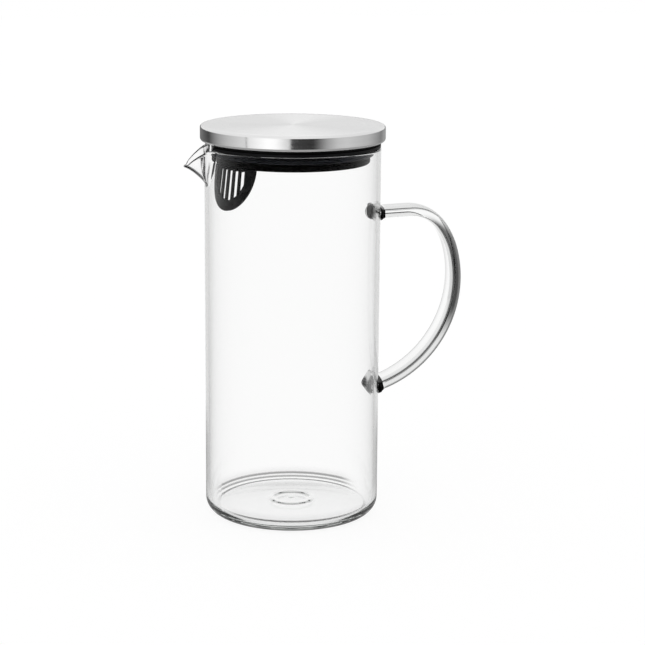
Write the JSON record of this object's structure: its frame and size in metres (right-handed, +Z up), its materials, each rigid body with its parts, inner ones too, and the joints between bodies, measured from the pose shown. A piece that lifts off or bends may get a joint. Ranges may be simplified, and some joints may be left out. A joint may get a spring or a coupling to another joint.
{
  "type": "glass pitcher with lid",
  "caption": "Tall cylindrical glass water jug with a pulled spout, a strap handle and a loose steel-capped lid whose slotted strainer turns to meet the spout.",
  "frame": {"origin": "centre of the foot ring, on the jug's axis, on the plane that the jug stands on", "axes": "+Z up along the jug's axis, +X towards the handle, the spout points along -X"},
  "size_m": [0.169, 0.11, 0.2372],
  "materials": {
    "glass": "clear borosilicate glass, fire-polished",
    "steel": "stainless steel, spun-brushed in rings",
    "black_plastic": "black moulded plastic, fine matte texture",
    "silicone": "black silicone with a soft sheen"
  },
  "bodies": {
    "jug": {"glass_body": "glass", "handle": "glass", "upper_handle_weld": "glass", "lower_handle_weld": "glass"},
    "seal": {"seal_ring": "silicone"},
    "lid": {"lid_cap": "steel", "lid_plug": "black_plastic", "strainer": "black_plastic"}
  },
  "joints": [
    {"name": "lid_lift", "type": "slide", "parent": "jug", "child": "seal", "axis": [0, 0, 1], "range_m": [0, 0.06]},
    {"name": "lid_turn", "type": "hinge", "parent": "seal", "child": "lid", "pos_m": [0, 0, 0.2245], "axis": [0, 0, 1], "continuous": true}
  ]
}
